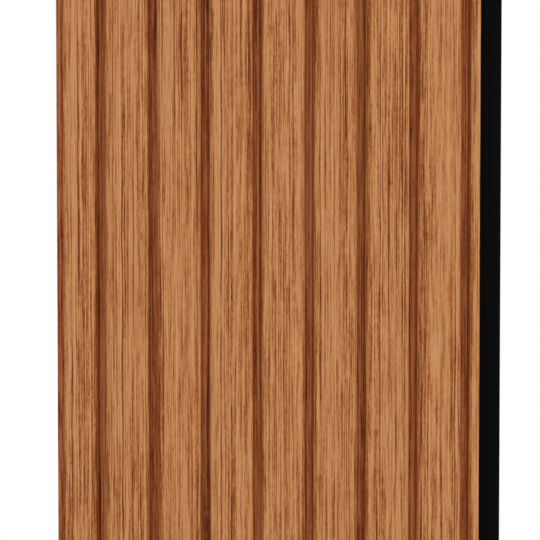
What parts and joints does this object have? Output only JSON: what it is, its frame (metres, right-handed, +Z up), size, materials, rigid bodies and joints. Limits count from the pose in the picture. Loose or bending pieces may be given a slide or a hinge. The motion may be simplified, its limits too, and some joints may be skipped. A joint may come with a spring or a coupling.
{
  "type": "louvred wall panel",
  "caption": "Long narrow wall panel with flat upright slats between deep grooves, a wood-grain face, a joint tongue on one edge and a slot with a bare black fixing flange on the other.",
  "frame": {"origin": "on the wall plane, midway between the panel's two joint lines and midway along its length", "axes": "+X across the panel towards the fixing flange, +Y into the wall, so the louvred face looks along -Y, +Z up along the slats"},
  "size_m": [0.1297, 0.012, 0.9],
  "materials": {
    "black_core": "bare extruded polymer foam, coloured black through, matt",
    "woodgrain_film": "printed straight wood grain in light and mid brown, satin matt decor film"
  },
  "bodies": {
    "root": {"extruded_core": "black_core", "woodgrain_film": "woodgrain_film"}
  },
  "joints": []
}
